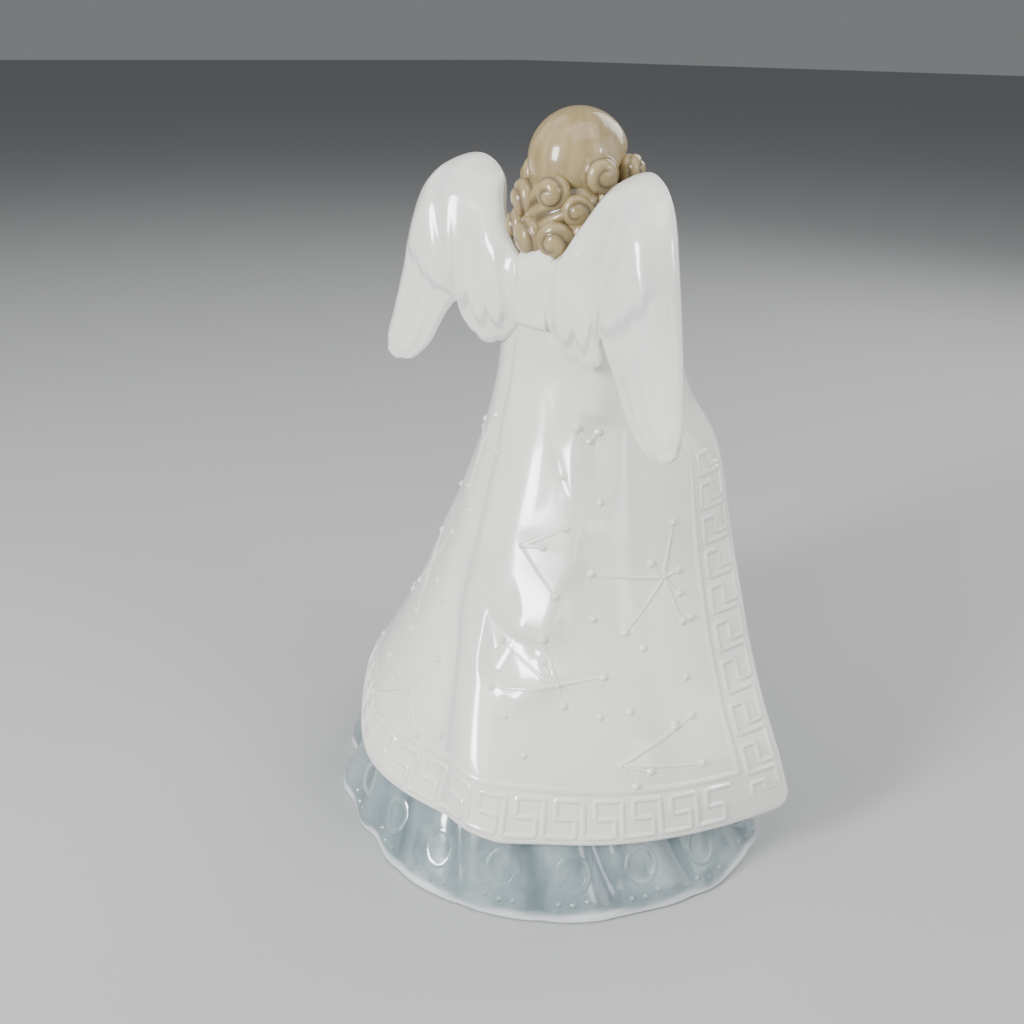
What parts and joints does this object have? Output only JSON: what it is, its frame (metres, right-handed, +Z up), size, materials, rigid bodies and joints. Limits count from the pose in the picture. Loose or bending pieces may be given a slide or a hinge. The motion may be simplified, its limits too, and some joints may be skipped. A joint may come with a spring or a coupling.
{
  "type": "porcelain angel figurine",
  "caption": "Glazed porcelain angel with folded-back wings, a flowing cloak over a fluted gown that is hollow and open at the base, curled hair and hands joined in prayer.",
  "frame": {"origin": "centre of the base circle on the floor, under the middle of the skirt's rim", "axes": "+Z up to the crown of the head; the figure faces -Y, its own left hand is on +X"},
  "size_m": [0.1366, 0.1248, 0.1802],
  "materials": {
    "white_glaze": null,
    "blue_glaze": "glossy mottled blue-grey porcelain glaze with a pale worn rim",
    "hair_glaze": "glossy tan porcelain glaze, darker in the grooves of the curls",
    "flesh_glaze": "satin pale flesh-coloured porcelain glaze"
  },
  "bodies": {
    "root": {"mantle": "white_glaze", "skirt": "blue_glaze", "bodice": "blue_glaze", "head": "flesh_glaze", "hair_cap": "hair_glaze", "wing_bridge": "white_glaze", "left_sleeve": "blue_glaze", "left_hand": "flesh_glaze", "left_wing": "white_glaze", "right_sleeve": "blue_glaze", "right_hand": "flesh_glaze", "right_wing": "white_glaze", "curl_01": "hair_glaze", "curl_02": "hair_glaze", "curl_03": "hair_glaze", "curl_04": "hair_glaze", "curl_05": "hair_glaze", "curl_06": "hair_glaze", "curl_07": "hair_glaze", "curl_08": "hair_glaze", "curl_09": "hair_glaze", "curl_10": "hair_glaze", "curl_11": "hair_glaze", "curl_12": "hair_glaze", "curl_13": "hair_glaze", "curl_14": "hair_glaze", "curl_15": "hair_glaze", "curl_16": "hair_glaze"}
  },
  "joints": []
}
